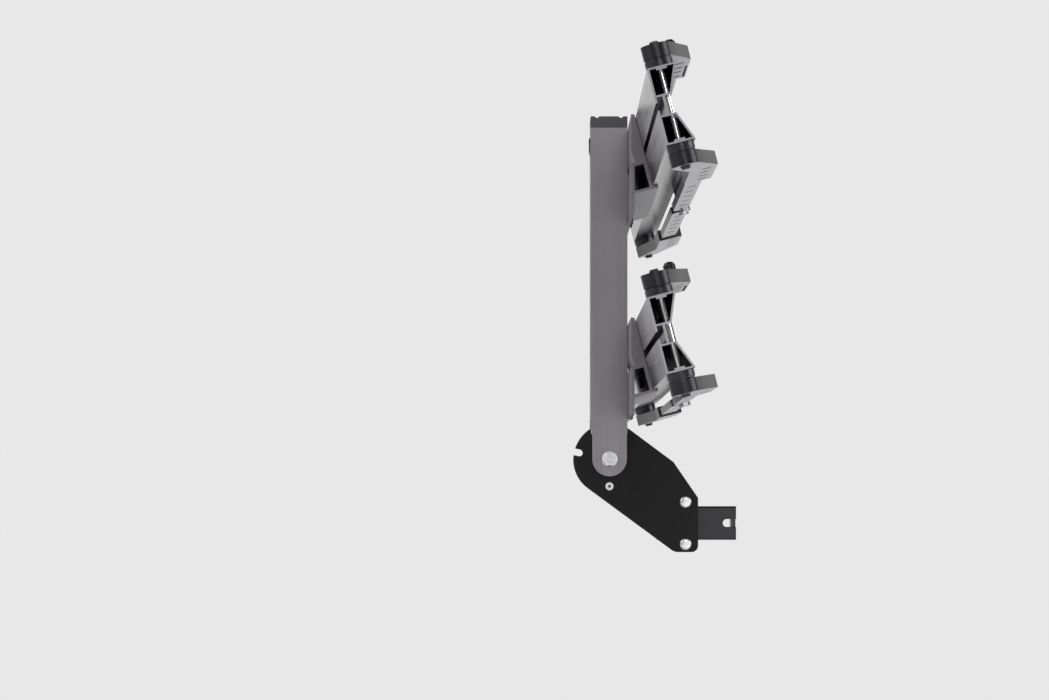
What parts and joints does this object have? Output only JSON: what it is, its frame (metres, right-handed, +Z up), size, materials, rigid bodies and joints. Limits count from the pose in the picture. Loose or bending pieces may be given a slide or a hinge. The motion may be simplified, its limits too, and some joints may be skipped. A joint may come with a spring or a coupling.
{
  "type": "hitch bike rack",
  "caption": "Folding platform bike rack for a tow receiver, with tilted wheel trays, swinging telescopic wheel arms and a ball lock in the hitch bar.",
  "frame": {"origin": "centre of the free end of the hitch bar, where it goes into the receiver", "axes": "+X along the hitch bar towards the vehicle, +Z up along the stored beam, Y along the trays"},
  "size_m": [0.2449, 1.4, 0.6842],
  "materials": {
    "black_plate": "satin black powder coat",
    "beam_grey": "dark grey brushed anodised",
    "tray_grey": "grey anodised extrusion",
    "arm_grey": "light grey anodised bar",
    "cap_grey": "moulded dark grey",
    "black_hub": "semi gloss black",
    "bright_steel": "zinc plated",
    "axle_chrome": "polished",
    "pad_rubber": "matte"
  },
  "bodies": {
    "hitch": {"hitch_bar": "black_plate", "end_plug": "black_hub", "side_plate_near": "black_plate", "side_plate_far": "black_plate", "clamp_bolts": "bright_steel", "clamp_nuts": "bright_steel", "stop_bolt": "bright_steel", "pivot_sleeve": "bright_steel"},
    "beam": {"beam": "beam_grey", "beam_cap": "cap_grey", "pivot_bolt": "bright_steel", "pivot_nut": "bright_steel", "outer_tray": "tray_grey", "outer_saddle": "tray_grey", "outer_saddle_bolts": "bright_steel", "outer_hub_discs": "black_hub", "outer_axle_near": "axle_chrome", "outer_axle_far": "axle_chrome", "inner_tray": "tray_grey", "inner_saddle": "tray_grey", "inner_saddle_bolts": "bright_steel", "inner_hub_discs": "black_hub", "inner_axle_near": "axle_chrome", "inner_axle_far": "axle_chrome"},
    "draw": {"draw_rod": "bright_steel", "draw_wedge": "black_hub"},
    "ball": {"lock_ball": "bright_steel"},
    "latch": {"latch_bar": "bright_steel", "latch_rod": "bright_steel", "release_handle": "black_hub"},
    "outer_near_arm": {"outer_near_sleeve_top": "arm_grey", "outer_near_sleeve_bottom": "arm_grey"},
    "outer_near_slide": {"outer_near_bars": "arm_grey", "outer_near_cross_tube": "bright_steel", "outer_near_wheel_pad": "pad_rubber"},
    "outer_near_clamp": {"outer_near_knob": "black_hub"},
    "outer_far_arm": {"outer_far_sleeve_top": "arm_grey", "outer_far_sleeve_bottom": "arm_grey"},
    "outer_far_slide": {"outer_far_bars": "arm_grey", "outer_far_cross_tube": "bright_steel", "outer_far_wheel_pad": "pad_rubber"},
    "outer_far_clamp": {"outer_far_knob": "black_hub"},
    "inner_near_arm": {"inner_near_sleeve_top": "arm_grey", "inner_near_sleeve_bottom": "arm_grey"},
    "inner_near_slide": {"inner_near_bars": "arm_grey", "inner_near_cross_tube": "bright_steel", "inner_near_wheel_pad": "pad_rubber"},
    "inner_near_clamp": {"inner_near_knob": "black_hub"},
    "inner_far_arm": {"inner_far_sleeve_top": "arm_grey", "inner_far_sleeve_bottom": "arm_grey"},
    "inner_far_slide": {"inner_far_bars": "arm_grey", "inner_far_cross_tube": "bright_steel", "inner_far_wheel_pad": "pad_rubber"},
    "inner_far_clamp": {"inner_far_knob": "black_hub"}
  },
  "joints": [
    {"name": "fold", "type": "hinge", "parent": "hitch", "child": "beam", "pos_m": [-0.1909, 0, 0.0963], "axis": [0, -1, 0], "range_deg": [0, 77.5]},
    {"name": "draw_slide", "type": "slide", "parent": "hitch", "child": "draw", "axis": [-1, 0, 0], "range_m": [0, 0.004]},
    {"name": "ball_rise", "type": "slide", "parent": "hitch", "child": "ball", "axis": [0, 0, 1], "range_m": [0, 0.002]},
    {"name": "latch_pull", "type": "slide", "parent": "beam", "child": "latch", "axis": [0, 0, 1], "range_m": [-0.012, 0]},
    {"name": "outer_near_arm_swing", "type": "hinge", "parent": "beam", "child": "outer_near_arm", "pos_m": [-0.12717, -0.6815, 0.54083], "axis": [0.2504, 0, -0.9681], "range_deg": [0, 125]},
    {"name": "outer_near_arm_extend", "type": "slide", "parent": "outer_near_arm", "child": "outer_near_slide", "axis": [0, 1, 0], "range_m": [-0.05, 0]},
    {"name": "outer_near_knob_turn", "type": "hinge", "parent": "outer_near_arm", "child": "outer_near_clamp", "pos_m": [-0.12446, -0.59, 0.63449], "axis": [-0.2504, 0, 0.9681], "range_deg": [0, 270]},
    {"name": "outer_far_arm_swing", "type": "hinge", "parent": "beam", "child": "outer_far_arm", "pos_m": [-0.12717, 0.6815, 0.54083], "axis": [-0.2504, 0, 0.9681], "range_deg": [0, 125]},
    {"name": "outer_far_arm_extend", "type": "slide", "parent": "outer_far_arm", "child": "outer_far_slide", "axis": [0, -1, 0], "range_m": [-0.05, 0]},
    {"name": "outer_far_knob_turn", "type": "hinge", "parent": "outer_far_arm", "child": "outer_far_clamp", "pos_m": [-0.12446, 0.59, 0.63449], "axis": [-0.2504, 0, 0.9681], "range_deg": [0, 270]},
    {"name": "inner_near_arm_swing", "type": "hinge", "parent": "beam", "child": "inner_near_arm", "pos_m": [-0.12717, -0.6815, 0.24783], "axis": [0.2504, 0, -0.9681], "range_deg": [0, 125]},
    {"name": "inner_near_arm_extend", "type": "slide", "parent": "inner_near_arm", "child": "inner_near_slide", "axis": [0, 1, 0], "range_m": [-0.05, 0]},
    {"name": "inner_near_knob_turn", "type": "hinge", "parent": "inner_near_arm", "child": "inner_near_clamp", "pos_m": [-0.12446, -0.59, 0.34149], "axis": [-0.2504, 0, 0.9681], "range_deg": [0, 270]},
    {"name": "inner_far_arm_swing", "type": "hinge", "parent": "beam", "child": "inner_far_arm", "pos_m": [-0.12717, 0.6815, 0.24783], "axis": [-0.2504, 0, 0.9681], "range_deg": [0, 125]},
    {"name": "inner_far_arm_extend", "type": "slide", "parent": "inner_far_arm", "child": "inner_far_slide", "axis": [0, -1, 0], "range_m": [-0.05, 0]},
    {"name": "inner_far_knob_turn", "type": "hinge", "parent": "inner_far_arm", "child": "inner_far_clamp", "pos_m": [-0.12446, 0.59, 0.34149], "axis": [-0.2504, 0, 0.9681], "range_deg": [0, 270]}
  ],
  "couplings": [
    {"joint": "ball_rise", "follows": "draw_slide", "ratio": 0.5}
  ]
}
